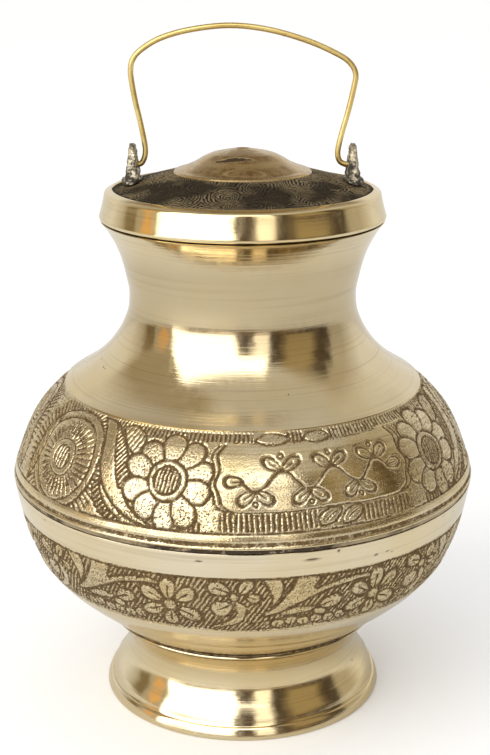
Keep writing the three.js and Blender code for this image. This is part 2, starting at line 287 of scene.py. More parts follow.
# ---------------------------------------------------------------- Lower bowl
# The lower half of the belly is a casting with a dished bottom and a plain
# cove. A vine with six-petalled flowers is chased into its upper part and
# rubbed with dark filler, and a smooth band is left under the belly's edge.
GRID = 0.25
BELLY_STEPS = 384
BAND_STEPS = 768
EDGE_STEPS = 1152
LINE_DEPTH = 0.32
FLAW_DEPTH = 0.25
WHEREVER = 99.0
VINE_REPEATS = 7
VINE_CENTRE = -17.8
HAND_DRIFT = ((13.0, 0.30), (5.0, 0.15), (1.6, 0.11), (0.75, 0.09))
bowl_outside = [
    (0.0, 19.4), (15.0, 19.8), (25.0, 20.7), (32.0, 22.29), (36.0, 23.65), (37.6, 24.75),
    (39.2, 26.1), (40.9, 27.6), (42.2, 28.9), (42.75, 29.25), (44.2, 30.3), (46.2, 32.0),
    (49.45, 35.0), (52.1, 38.1)]
band_low = [
    (52.1, 38.1), (54.2, 41.0), (55.5, 44.0), (56.7, 47.0), (57.65, 50.0), (58.5, 53.6),
    (58.72, 54.8)]
bowl_edge = [(58.72, 54.8), (59.2, 57.2), (59.6, 59.6), (59.82, 60.6)]
bowl_inside = [(50.4, 39.2), (44.0, 32.7), (38.0, 27.4), (32.0, 24.4), (18.0, 22.0), (0.0, 21.4)]


def chance(i, j, seed):
    """The same number between 0 and 1 each time for a cell of a grid."""
    tossed = np.sin(i * 127.1 + j * 311.7 + seed * 74.7) * 43758.5453
    return tossed - np.floor(tossed)


def cells(x, y, size, loop):
    """The cell each place lies in and where in the cell, on a grid that closes round the piece."""
    count = round(loop / size)
    u, v = x / loop * count, y / size
    return np.floor(u), np.floor(v), u % 1, v % 1, count


def swell(x, y, size, loop, seed):
    """Smooth hills and hollows about `size` mm apart, between -1 and 1."""
    i, j, u, v, count = cells(x, y, size, loop)
    u, v = u * u * (3 - 2 * u), v * v * (3 - 2 * v)
    low = chance(i % count, j, seed) * (1 - u) + chance((i + 1) % count, j, seed) * u
    high = chance(i % count, j + 1, seed) * (1 - u) + chance((i + 1) % count, j + 1, seed) * u
    return 2 * (low * (1 - v) + high * v) - 1


def punch_marks(x, y, size, loop, seed):
    """Small round marks of a punch, set down by hand: 1 in a mark and 0 between them."""
    i, j, u, v, count = cells(x, y, size, loop)
    marks = np.zeros(x.shape)
    for a in (-1, 0, 1):
        for b in (-1, 0, 1):
            cell = ((i + a) % count, j + b)
            gap = np.hypot(u - a - chance(*cell, seed), v - b - chance(*cell, seed + 1)) * size
            marks = np.maximum(marks, within(gap - size * (0.5 * chance(*cell, seed + 2) - 0.06), 0.1))
    return marks


def within(distance, soft=0.13):
    """1 where a distance in mm is below 0, 0 above it, with a soft edge."""
    return np.clip((soft - distance) / (2 * soft), 0, 1)


def stroke(distance, half, soft=0.13):
    """1 in the middle of a cut line and 0 outside it."""
    return within(np.abs(distance) - half, soft)


def hatch(x, y, turn, spacing, half):
    """Parallel cut strokes; `turn` is their direction in degrees."""
    c, s = math.cos(math.radians(turn)), math.sin(math.radians(turn))
    place = (y * c - x * s) / spacing
    return stroke((place - np.round(place)) * spacing, half)


def to_bar(x, y, x0, y0, x1, y1):
    """Distance to a straight stroke between two points."""
    dx, dy = x1 - x0, y1 - y0
    t = np.clip(((x - x0) * dx + (y - y0) * dy) / (dx * dx + dy * dy), 0, 1)
    return np.hypot(x - x0 - t * dx, y - y0 - t * dy)


class Chasing:
    """A pattern cut into a turned band, motif by motif, at places in degrees round it and mm of height.
    `cut` is 1 in the cut lines and 0 on the raised brass."""

    def __init__(self, around, across, line, centre, repeat, seed):
        self.run, self.heights, self.repeat = run_along(line), line[:, 1], repeat
        self.mm = math.radians(float(line[:, 0].mean()))
        self.loop = 360 * self.mm
        self.true_x, self.true_y = around % 360 * self.mm, across
        drifts = []
        for k in (0, 1):
            drift = 0.0
            for size, amount in HAND_DRIFT:
                toss = seed + size + 31 * k
                drift = drift + amount * swell(self.true_x, self.true_y, size, self.loop, toss)
            drifts.append(drift)
        self.turn = around - centre + drifts[0] / self.mm
        self.y = across + drifts[1]
        self.round = np.radians(np.interp(across, self.run, line[:, 0])) / self.mm
        self.cut = np.zeros(around.shape)

    def up(self, height):
        return float(np.interp(height, self.heights, self.run))

    def from_degrees(self, degrees):
        """Distance round the band from the nearest repeat of a place."""
        return ((self.turn - degrees + self.repeat / 2) % self.repeat - self.repeat / 2) * self.mm

    def spread(self, points):
        """The part of the band near some points, and the points in mm from their middle."""
        middle = sum(a for a, z in points) / len(points)
        x = self.from_degrees(middle)
        flat = [((a - middle) * self.mm, self.up(z)) for a, z in points]
        near = np.abs(x) < max(abs(px) for px, py in flat) + 2
        return near, x[near], self.y[near], flat

    def line(self, points, half=0.3):
        """A smooth cut line through the points."""
        near, x, y, flat = self.spread(points)
        fine = smooth_outline(flat, 0.8)
        gap = np.full(x.shape, WHEREVER)
        for a, b in zip(fine, fine[1:]):
            gap = np.minimum(gap, to_bar(x, y, *a, *b))
        self.cut[near] = np.maximum(self.cut[near], stroke(gap, half))

    def bar(self, a0, z0, a1, z1, half=0.27):
        self.line([(a0, z0), (a1, z1)], half)

    def leaf(self, points, rim=0.36, fill=None):
        """A closed smooth shape, left raised or filled with strokes of (turn, spacing, half width)."""
        near, x, y, flat = self.spread(points)
        fine = smooth_outline(flat + [flat[0]], 0.8)
        gap = np.full(x.shape, WHEREVER)
        inside = np.zeros(x.shape, bool)
        for (x0, y0), (x1, y1) in zip(fine, fine[1:]):
            gap = np.minimum(gap, to_bar(x, y, x0, y0, x1, y1))
            if y0 != y1:
                inside ^= ((y0 > y) != (y1 > y)) & (x < x0 + (y - y0) * (x1 - x0) / (y1 - y0))
        self.stamp(near, x, y, np.where(inside, -gap, gap), rim, fill)

    def stamp(self, near, x, y, edge, rim, fill=None):
        inner = 0.0 if fill is None else hatch(x, y, *fill)
        cover = within(edge)
        cut = self.cut[near] * (1 - cover) + inner * cover
        self.cut[near] = np.maximum(cut, stroke(edge, rim)) if rim else cut

    def disc(self, degrees, height, radius, rim=0.3, fill=None):
        """A true circle on the curved band."""
        x, y, near = self.local(degrees, height, radius)
        self.stamp(near, x, y, np.hypot(x, y) - radius, rim, fill)

    def ring(self, degrees, height, radius, half=0.3):
        x, y, near = self.local(degrees, height, radius)
        self.cut[near] = np.maximum(self.cut[near], stroke(np.hypot(x, y) - radius, half))

    def rays(self, degrees, height, inner, outer, step, half):
        """Short strokes standing round a centre."""
        x, y, near = self.local(degrees, height, outer)
        out = np.hypot(x, y)
        turn = np.degrees(np.arctan2(y, x)) / step
        gap = np.radians((turn - np.round(turn)) * step) * out
        ray = stroke(gap, half) * within(inner - out) * within(out - outer)
        self.cut[near] = np.maximum(self.cut[near], ray)

    def petal(self, degrees, height, reach, turn, length, width, slit=0.0, rim=0.36):
        """An egg-shaped petal `reach` mm out from a centre in the direction `turn`, with a slit down it."""
        x, y, near = self.local(degrees, height, reach + length)
        c, s = math.cos(math.radians(turn)), math.sin(math.radians(turn))
        px, py = x * c + y * s - reach, y * c - x * s
        taper = 1 + 0.22 * np.clip(2 * px / length, -1, 1)
        edge = (np.hypot(2 * px / length, 2 * py / (width * taper)) - 1) * min(length, width) / 2
        self.stamp(near, x, y, edge, rim)
        if slit:
            gap = to_bar(px, py, -length * 0.42, 0, length * 0.12, 0)
            self.cut[near] = np.maximum(self.cut[near], stroke(gap, slit))

    def local(self, degrees, height, reach):
        x = self.from_degrees(degrees) * self.round
        y = self.y - self.up(height)
        near = (np.abs(x) < reach + 2) & (np.abs(y) < reach + 2)
        return x[near], y[near], near

    def strokes(self, a0, a1, z0, z1, turn=90, spacing=1.2, half=0.3):
        """A strip of short strokes between two places and two heights."""
        x = self.from_degrees((a0 + a1) / 2)
        strip = within(np.abs(x) - (a1 - a0) / 2 * self.mm)
        strip = strip * within(self.up(z0) - self.y) * within(self.y - self.up(z1))
        self.cut = np.maximum(self.cut, strip * hatch(x, self.y, turn, spacing, half))


def chase(piece, line, pattern, depth):
    """Cuts a pattern into the carved points of a turned piece, and keeps what filled it as "filler"."""
    mesh = piece.data
    count = len(mesh.vertices)
    spots = np.empty(count * 3)
    across = np.empty(count)
    mesh.vertices.foreach_get("co", spots)
    mesh.attributes["across"].data.foreach_get("value", across)
    spots = spots.reshape(-1, 3)
    chosen = across >= 0
    angle = np.arctan2(spots[chosen, 0], -spots[chosen, 1])
    cut, dark = pattern(np.degrees(angle), across[chosen], line)
    run = run_along(line)
    step_out, step_up = np.gradient(line, run, axis=0).T
    sunk_out = np.interp(across[chosen], run, step_up) * cut * depth * MM
    sunk_up = np.interp(across[chosen], run, -step_out) * cut * depth * MM
    spots[chosen] -= np.stack([np.sin(angle) * sunk_out, -np.cos(angle) * sunk_out, sunk_up], axis=1)
    filler = np.zeros(count)
    filler[chosen] = dark
    mesh.vertices.foreach_set("co", spots.ravel())
    mesh.attributes.new("filler", "FLOAT", "POINT").data.foreach_set("value", filler)
    mesh.update()


def vine_pattern(around, across, line):
    """Repeats of a flower, a bud spray and a long curling leaf on a hatched ground."""
    art = Chasing(around, across, line, VINE_CENTRE, 360 / VINE_REPEATS, 3)
    art.cut = hatch(art.turn * art.mm, art.y, 60, 1.05, 0.34)
    # Long curling leaf with its tulip-shaped neighbours.
    art.leaf([
        (22.2, 54.6), (26.0, 54.6), (27.5, 52.0), (27.3, 49.6), (26.0, 47.2), (24.6, 45.8), (24.9, 48.5),
        (23.7, 51.5)])
    art.leaf([
        (30.8, 54.6), (36.4, 54.6), (35.1, 50.6), (37.5, 51.3), (41.0, 52.3), (45.0, 52.8), (49.0, 52.2),
        (50.3, 51.0), (46.0, 51.2), (42.0, 50.6), (38.5, 49.8), (35.0, 48.2), (31.0, 46.2), (26.3, 43.9),
        (22.5, 43.4), (26.5, 46.8), (28.8, 50.0), (30.0, 52.2)])
    art.line([(30.4, 54.4), (29.4, 51.5), (27.8, 48.9), (26.2, 46.8)], 0.34)
    # Slender leaf, half flower and low scallops under the long leaf.
    for k in range(6):
        art.petal(26.4 + 3.3 * k, 40.6 + 0.5 * (k % 2), 0, 90 + 16 * (k % 3 - 1), 3.6, 3.1, 0.2, 0.3)
    art.leaf([(26.5, 43.9), (31.0, 45.4), (35.5, 45.1), (36.5, 44.0), (32.0, 43.3), (28.0, 43.1)], 0.3)
    art.petal(39.3, 45.9, 0, 24, 5.8, 4.2, 0.26)
    art.petal(36.9, 43.2, 0, -24, 3.8, 2.5)
    art.line([(20.0, 41.2), (27.0, 42.4), (33.0, 42.6), (39.0, 42.0)], 0.34)
    # Bud spray on a curling stem.
    art.leaf([
        (16.0, 48.4), (18.6, 46.6), (18.8, 43.8), (16.6, 41.2), (12.0, 39.7), (9.5, 39.9), (13.5, 41.6),
        (16.4, 44.2), (16.2, 46.4)], 0.32)
    buds = [(12.4, 51.2, 160, 6.0, 3.9), (18.6, 52.0, 55, 4.8, 3.3)]
    buds += [(12.9, 45.7, 215, 5.6, 4.9), (20.4, 48.8, -20, 3.6, 2.8)]
    for a, z, turn, length, width in buds:
        art.petal(a, z, 0, turn, length, width, 0.27)
    art.disc(16.0, 49.2, 1.25)
    # Six-petalled flower with a slit in every petal.
    petals = [(92, 4.9, 6.9, 4.1), (148, 5.3, 6.6, 4.1), (205, 4.9, 6.2, 3.9), (268, 4.5, 5.6, 3.7)]
    petals += [(333, 5.2, 6.6, 4.1), (40, 5.4, 6.2, 4.1)]
    for turn, reach, length, width in petals:
        art.petal(0, 45.5, reach, turn, length, width, 0.28)
    art.disc(0, 45.5, 1.7, 0.36)
    # Ticked upper edge and a plain line along the lower one.
    art.strokes(-26, 26, 53.7, 55, 82, 1.0, 0.3)
    art.cut *= within(art.y - art.up(54.45)) * within(art.up(38.5) - art.y)
    art.cut = np.maximum(art.cut, stroke(art.y - art.up(54.0), 0.3))
    art.cut = np.maximum(art.cut, stroke(art.y - art.up(38.8), 0.2))
    dark = grained(art, 0.62, 9)
    return art.cut, dark


def grained(art, amount, seed, calm=0.0):
    """The filler left in the cuts, and in the fine punched grain of the raised brass, less where calm."""
    x, y = art.true_x, art.true_y
    much = np.clip(amount + 0.35 * swell(x, y, 6.0, art.loop, seed + 5), 0, 1) * (1 - 0.8 * calm)
    marks = punch_marks(x, y, 0.5, art.loop, seed) * much
    grit = chance(np.round(x / 0.02), np.round(y / 0.02), seed + 2)
    specks = np.clip((grit - 1 + 0.42 * much) * 9, 0, 1)
    worn = 0.82 + 0.25 * swell(x, y, 0.9, art.loop, seed + 9) - 0.25 * (grit > 0.8)
    dark = np.maximum(art.cut * worn, np.maximum(marks * 0.8, specks * 0.8))
    art.cut = np.maximum(art.cut * (1 - 0.22 * grit), np.maximum(0.22 * marks, 0.2 * specks))
    return np.clip(dark, 0, 1)


def chased_finish(name):
    """Chased brass: polished high places with a fine punched grain, dark filler in the cuts."""
    f = Finish(name)
    filler = f.attribute("filler")
    grain = f.noise(2300.0, 3.0)
    patches = f.noise(260.0, 3.0)
    specks = f.math("MULTIPLY", f.ramp(f.noise(3300.0, 2.0), 0.52, 0.60), f.ramp(patches, 0.37, 0.58))
    ragged = f.math("ADD", filler, f.ramp(grain, 0.3, 0.7, -0.24, 0.24))
    dark = f.math("MAXIMUM", f.ramp(ragged, 0.26, 0.62), f.math("MULTIPLY", specks, 0.72))
    clouds = f.noise(60.0, 4.0)
    rings = f.noise(1.0, 3.0, (40, 1500, 1500), coords=f.lathe_coords())
    clean = f.blend(f.ramp(clouds, 0.36, 0.66), CLEAN_BRASS, WARM_BRASS)
    dull = f.blend(f.ramp(rings, 0.42, 0.7, 0.0, 0.42), clean, TARNISH)
    deep = f.blend(f.ramp(grain, 0.38, 0.7), (0.055, 0.032, 0.013), (0.18, 0.115, 0.048))
    rough = f.ramp(dark, 0.0, 1.0, 0.17, 0.6)
    normal = f.bump(rings, 0.00003)
    normal = f.bump(f.noise(2600.0, 2.0), 0.00004, 0.9, normal)
    normal = f.bump(f.noise(110.0, 3.0), 0.00012, 0.4, normal)
    f.shader.inputs["IOR"].default_value = GRIME_IOR
    return f.wear(f.blend(dark, dull, deep), rough, normal, f.ramp(dark, 0.2, 0.9, 1.0, 0.05))


def flaw_pattern(around, across, line):
    """Small casting flaws that the polish left open on the smooth band: long pits and specks."""
    cut = np.zeros(around.shape)
    mm = math.radians(float(line[:, 0].mean()))
    rng = np.random.default_rng(17)
    pits = [(-9.8, 58.9, 0.9, 0.28), (15.6, 58.8, 1.9, 0.3), (21.8, 60.2, 0.35, 0.4)]
    for k in range(24):
        place = (rng.uniform(30, 330), rng.uniform(55.6, 60.2))
        pits.append((*place, rng.uniform(0.2, 1.4), rng.uniform(0.12, 0.26)))
    for degrees, height, long, tall in pits:
        x = ((around - degrees + 180) % 360 - 180) * mm
        y = across - float(np.interp(height, line[:, 1], run_along(line)))
        cut = np.maximum(cut, within(np.hypot(x / long, y / tall) - 1, 0.45))
    return cut, cut


# Painted light: the bowl and its smooth band take a lighter copy of the turned brass, standing in for the
# brighter reflections under the belly.
lit_bowl_finish = lathe_polish("lit_turned_bowl_brass", 0.000016, 0.13, (0.84, 0.75, 0.56), (0.80, 0.67, 0.42))
vine_finish = chased_finish("chased_vine_brass")
base_outline = smooth_outline(bowl_outside[:5], 3.0) + smooth_outline(bowl_outside[4:], 0.8)[1:] + bowl_inside
bowl_base = turned("bowl_base", base_outline, BELLY_STEPS)
fit(bowl_base, lit_bowl_finish, "lower_bowl", "pot")
low_line = np.array(smooth_outline(band_low, GRID))
low_wall = [tuple(p) for p in low_line] + [(56.7, 55.3), (54.0, 46.0), (50.4, 39.2)]
for side, start in (("front", -math.pi / 2), ("back", math.pi / 2)):
    band = turned("vine_band_" + side, low_wall, BAND_STEPS, start, math.pi, len(low_line))
    chase(band, low_line, vine_pattern, LINE_DEPTH)
    fit(band, vine_finish, "lower_bowl", "pot")
edge_line = np.array(smooth_outline(bowl_edge, 0.3))
edge_wall = [tuple(p) for p in edge_line] + [(59.7, 60.98), (57.8, 60.98), (56.7, 55.3)]
bowl_rim = turned("bowl_smooth_band", edge_wall, EDGE_STEPS, carved=len(edge_line))
chase(bowl_rim, edge_line, flaw_pattern, FLAW_DEPTH)
fit(bowl_rim, lit_bowl_finish, "lower_bowl", "pot")

# ---------------------------------------------------------------- Braze round the belly
# The two halves of the belly meet at its widest line, in a run of braze that
# was filed flush. It is darker in patches, and darkest in front.
DARK_FRONT_Y = (-0.0535, -0.0575)
f = Finish("filed_braze")
grain = f.noise(900.0, 4.0)
front = f.ramp(f.node("ShaderNodeSeparateXYZ", Vector=f.coords).outputs[1], *DARK_FRONT_Y)
shade = f.math("ADD", f.ramp(f.noise(55.0, 3.0), 0.50, 0.64), front)
shade = f.math("MULTIPLY", f.math("MINIMUM", shade, 1.0), f.ramp(grain, 0.30, 0.48))
seam_color = f.blend(shade, DULL_BRASS_AND_SHADE, GRIME)
seam_rough = f.ramp(shade, 0.0, 1.0, 0.25, 0.7)
f.wear(seam_color, seam_rough, f.bump(grain, 0.0001), f.ramp(shade, 0.0, 1.0, 1.0, 0.4))
refinish("belly_braze_seam", f.material)

# ---------------------------------------------------------------- Upper body
# The upper half of the belly, shoulder, waisted neck and thick mouth are one
# casting. Daisies, medallions and ribbons round two plain panels are chased
# into the belly; the shoulder and neck are left turned and polished.
PANEL_CENTRE = 19.5
PANEL_END = 24.5
FLOOR_OF_PANEL = 70.6
TOP_OF_PANEL = 83.4
STEM_HEIGHT = 76.8
STEM_REACH = 19.5
STEM_SWING = 1.9
STEM_WAVE = 13.0
DAISIES = (-38.0, 37.5)
DAISY_PETALS = 10
MEDALLION = 72.0
DAISY_HEIGHT = 76.0
# Painted shade: the neck's brass is a darker copy of the clean and warm brass. Between the heights below, in
# metres, a band is darkened further, standing in for the darker reflections up the neck.
SHADED_NECK_CLEAN = (0.76, 0.65, 0.44)
SHADED_NECK_WARM = (0.71, 0.57, 0.32)
NECK_SHADE_BAND = (0.098, 0.105, 0.118, 0.124)
band_high = [
    (59.99, 62.2), (59.92, 62.8), (59.3, 65.1), (58.2, 68.1), (57.1, 71.1), (55.8, 74.1),
    (54.2, 77.1), (51.9, 80.1), (48.95, 83.2), (45.75, 85.8)]
neck_outside = [
    (45.9, 86.0), (45.3, 86.4), (40.8, 89.2), (37.0, 92.2), (34.2, 95.2), (32.05, 98.2),
    (30.5, 101.2), (29.4, 104.2), (29.03, 107.2), (29.1, 110.2), (29.7, 113.2), (30.4, 116.3),
    (31.3, 119.3), (32.6, 122.3), (34.3, 125.3), (35.6, 127.1)]
neck_lip = [(35.86, 127.35), (35.7, 127.5), (29.2, 127.5), (29.2, 116.7), (27.9, 116.7)]
neck_inside = [
    (27.3, 112.0), (27.05, 107.5), (27.8, 102.5), (30.2, 97.2), (34.5, 91.6), (39.6, 87.4),
    (44.2, 83.9)]


def panel_pattern(around, across, line):
    """Two repeats of a plain panel between daisies, ribbons and medallions, on a stippled ground."""
    art = Chasing(around, across, line, PANEL_CENTRE, 180.0, 41)
    # Border of short strokes along the top, broken by leaves.
    for a0, a1 in ((-62, -17), (-7, -2.5), (5.5, 62)):
        art.strokes(a0, a1, 83.9, 85.9, 84, 1.15, 0.33)
    art.line([(-22, 83.75), (0, 83.85), (21, 83.7)], 0.16)
    art.leaf([(-16.5, 84.3), (-12.5, 85.5), (-8.5, 85.0), (-6.2, 84.2), (-10.0, 83.5), (-14.0, 83.6)], 0.26)
    art.leaf([(-3.0, 84.3), (0.0, 85.4), (3.8, 85.3), (5.4, 84.4), (2.5, 83.6), (-0.5, 83.6)], 0.26)
    # Strips of strokes under the panel, with a pair of leaves between them.
    art.strokes(-24.5, -2.0, 66.2, 70.1, 92, 1.15, 0.34)
    art.strokes(9.0, 24.0, 66.2, 69.8, 87, 1.15, 0.34)
    art.line([(-25.5, 70.9), (-20, 70.4), (-8, 70.4), (4, 70.5), (14, 70.1), (24.5, 70.4)], 0.2)
    art.leaf([(-1.6, 66.6), (-1.8, 68.6), (0.4, 70.0), (3.8, 70.2), (3.0, 68.2), (0.8, 66.8)], 0.3)
    art.line([(-0.4, 67.6), (1.0, 68.6), (2.6, 69.5)], 0.2)
    art.leaf([(3.6, 66.4), (4.2, 68.6), (6.6, 69.9), (9.4, 69.8), (8.8, 67.8), (6.4, 66.5)], 0.3)
    art.line([(5.0, 67.3), (6.4, 68.3), (8.0, 69.1)], 0.2)
    # Scalloped double ends of the panel.
    end = [(24.4, 83.4), (25.9, 81.5), (24.9, 79.2), (26.0, 76.6), (24.8, 74.0), (24.0, 71.6), (21.4, 70.2)]
    for way, shift in ((-1, 0.0), (-1, -1.5), (1, 0.0), (1, 1.5)):
        art.line([(way * a + shift, z) for a, z in end], 0.36 if shift == 0 else 0.24)
    art.strokes(26.6, 31.0, 79.4, 83.4, 105, 1.05, 0.3)
    # A waving stem along the panel, with two slit leaves and a bud on the outside of every bend.
    for k in range(6):
        side = 1 if k % 2 else -1
        a = STEM_WAVE * (k / 2 - 1.25)
        crest = STEM_HEIGHT + STEM_SWING * side
        for lean in (-54, 54):
            art.petal(a, crest, 2.6, 90 * side + lean, 4.7, 2.5, 0.2, 0.28)
        art.disc(a, crest + 2.7 * side, 0.55, 0.26)
    for way in (-1, 1):
        art.petal(19.8 * way, STEM_HEIGHT, 1.6, 90 - 90 * way, 4.2, 2.5, 0.2, 0.28)
    steps = np.arange(-STEM_REACH, STEM_REACH + 0.1, 1.3)
    stem = [(a, STEM_HEIGHT + STEM_SWING * math.sin(math.tau * a / STEM_WAVE)) for a in steps]
    art.line(stem, 0.32)
    for way in (-1, 1):
        # Medallion beyond the daisy: rings, an eye of strokes and a rim of rays, under an arched ribbon.
        centre = MEDALLION * way
        art.rays(centre, 75.6, 12.8, 16.5, 5.0, 0.3)
        art.disc(centre, 75.6, 12.7, 0.3)
        art.disc(centre, 75.6, 10.6, 0.34)
        art.rays(centre, 75.6, 5.2, 8.2, 11, 0.26)
        art.rays(centre + 1.0, 75.6, 6.2, 9.4, 11, 0.2)
        art.ring(centre, 75.6, 4.7, 0.24)
        art.disc(centre, 75.6, 3.0, 0.24, (80, 1.15, 0.26))
        # Broad ribbon that sweeps down beside it and under the daisy, with its fringe and ladder.
        ribbon = [
            (64.0, 85.3), (61.0, 83.2), (59.0, 80.0), (58.0, 77.0), (56.6, 74.4), (54.0, 71.4), (50.0, 68.4),
            (45.0, 66.4), (40.5, 66.0), (46.0, 68.6), (49.3, 72.3), (51.4, 75.0), (53.0, 78.0), (55.6, 81.6),
            (59.0, 84.9)]
        fringe = [
            (58.0, 84.8), (54.5, 83.2), (51.0, 80.5), (49.0, 77.0), (48.8, 73.5), (50.5, 72.7), (52.0, 75.0),
            (53.5, 78.0), (56.0, 81.6)]
        ladder = [
            (57.0, 74.0), (55.5, 71.0), (52.5, 68.0), (48.5, 66.2), (52.5, 65.9), (56.5, 68.5), (58.5, 72.0)]
        tucked = [
            (55.5, 84.6), (52.0, 85.3), (48.0, 84.4), (46.2, 82.0), (46.8, 80.0), (49.6, 80.4), (52.4, 82.0)]
        art.leaf([(way * a, z) for a, z in ribbon], 0.36)
        art.leaf([(way * a, z) for a, z in fringe], 0.3, (90 + 33 * way, 1.0, 0.34))
        art.leaf([(way * a, z) for a, z in ladder], 0.3, (90 + 38 * way, 1.1, 0.36))
        # Leaf tucked in above the daisy, and strokes under and beside it.
        art.leaf([(way * a, z) for a, z in tucked], 0.34, (70, 1.3, 0.18))
        art.strokes(33 * way - 4, 33 * way + 4, 65.9, 68.0, 88, 1.1, 0.34)
        for k in range(3):
            art.bar(way * (29.4 - k), 72.0 + 1.2 * k, way * (27.6 - 0.4 * k), 74.6 + 0.8 * k, 0.27)
    # Tall leaves where the repeats meet, at the sides of the pot.
    for lean in (-4, 4):
        tall = [(90 + lean, 66.5), (87.6 + 1.5 * lean, 71), (88.4 + 1.7 * lean, 77), (90 + 2 * lean, 83)]
        tall += [(91.8 + 1.6 * lean, 77), (92.2 + 1.2 * lean, 71)]
        art.leaf(tall, 0.34, (90 + 6 * lean, 1.3, 0.2))
    # Daisies: uneven petals round a double ring with a hatched eye.
    for degrees in DAISIES:
        for k in range(DAISY_PETALS):
            turn = 360 / DAISY_PETALS * k + 17 + 3 * (k % 2)
            art.petal(degrees, DAISY_HEIGHT, 7.4 + 0.4 * (k % 3), turn, 7.6, 5.7, rim=0.3)
        art.disc(degrees, DAISY_HEIGHT, 5.0, 0.36)
        art.disc(degrees, DAISY_HEIGHT, 3.4, 0.32, (80, 0.95, 0.24))
    # Line along the bottom, the punched strip under it and the plain edges of the band.
    art.cut *= within(art.true_y - art.up(85.65)) * within(art.up(65.6) - art.y)
    art.cut = np.maximum(art.cut, stroke(art.y - art.up(65.6), 0.42))
    strip = within(art.true_y - art.up(63.9)) * within(art.up(62.7) - art.true_y)
    blows = punch_marks(art.true_x, art.true_y, 0.75, art.loop, 61)
    art.cut = np.maximum(art.cut, strip * (0.78 + 0.22 * blows))
    field = within(art.true_y - art.up(85.5)) * within(art.up(65.5) - art.true_y)
    calm = within(np.abs(art.from_degrees(0)) - PANEL_END * art.mm, 1.0)
    calm = calm * within(art.up(FLOOR_OF_PANEL) - art.y, 0.5) * within(art.y - art.up(TOP_OF_PANEL), 0.5)
    dark = grained(art, 0.6, 77, calm)
    plain = np.maximum(field, strip)
    return art.cut * plain, dark * plain


high_line = np.array(smooth_outline(band_high, GRID))
panel_finish = chased_finish("chased_panel_brass")
high_inside = [(44.2, 83.9), (49.4, 79.8), (53.4, 74.0), (56.9, 66.0), (58.0, 62.2)]
high_wall = [tuple(p) for p in high_line] + high_inside
for side, start in (("front", -math.pi / 2), ("back", math.pi / 2)):
    band = turned("panel_band_" + side, high_wall, BAND_STEPS, start, math.pi, len(high_line))
    chase(band, high_line, panel_pattern, LINE_DEPTH)
    fit(band, panel_finish, "upper_body", "pot")
# Painted shade: the shoulder and neck take the darker copy of the brass, with its darker band.
shaded_neck_finish = lathe_polish("shaded_turned_neck_brass", 0.000026, 0.11, SHADED_NECK_CLEAN, SHADED_NECK_WARM, NECK_SHADE_BAND)
neck = turned("shoulder_and_neck", smooth_outline(neck_outside, 0.6) + neck_lip + neck_inside, BELLY_STEPS)
fit(neck, shaded_neck_finish, "upper_body", "pot")

# ---------------------------------------------------------------- Threaded ring in the mouth
# A turned ring with a coarse inside thread, brazed into the mouth's bore.
thread_finish = lathe_polish("cut_thread_brass", 0.00003, 0.32)
refinish("mouth_thread_ring", thread_finish)

# ---------------------------------------------------------------- Sealing washer
# A flat leather washer, held captive on the lid's plug.
f = Finish("oiled_leather")
hide = f.noise(500.0, 5.0)
hide_color = f.blend(f.ramp(hide, 0.3, 0.7), (0.09, 0.055, 0.03), (0.035, 0.022, 0.014))
f.wear(hide_color, f.ramp(hide, 0.3, 0.7, 0.55, 0.8), f.bump(hide, 0.0003), 0.0)
refinish("seal_washer", f.material)

# ---------------------------------------------------------------- Lid
# One casting: a polished rim, a dark chased disc and a low smooth dome with a
# lathe centre mark. A threaded plug is brazed under it.
LID_STEPS = 320
DOME_STEPS = 512
DISC_STEPS = 1024
FERN_DEPTH = 0.18
DENT_DEPTH = 0.22
FERNS = 30
FLAT_LOOP = 1000.0
lid_under = [(0.0, 142.7), (6.0, 142.2), (11.0, 139.8), (16.5, 137.39), (17.0, 137.3), (17.35, 139.2)]
lid_skirt = [
    (32.55, 135.0), (32.0, 133.2), (32.4, 131.3), (33.9, 131.3), (33.9, 127.95), (35.85, 127.95),
    (36.1, 128.15)]
lid_rim = [(36.2, 128.5), (35.75, 130.0), (35.35, 131.5), (35.0, 133.0), (34.8, 134.1)]
lid_bevel = [(34.6, 134.5), (34.3, 134.7), (33.1, 135.28), (32.8, 135.32)]
lid_disc = [(32.6, 135.15), (17.35, 139.26)]
dome_side = [
    (17.2, 139.35), (16.9, 139.68), (15.6, 140.0), (14.3, 140.55), (12.0, 141.6), (10.4, 142.6),
    (9.2, 143.2), (8.2, 143.65), (7.4, 143.9), (5.5, 144.32), (3.5, 144.7), (2.0, 144.96),
    (1.6, 144.9), (1.2, 144.6), (0.6, 144.42)]
dome_top = [(0.0, 144.4)]


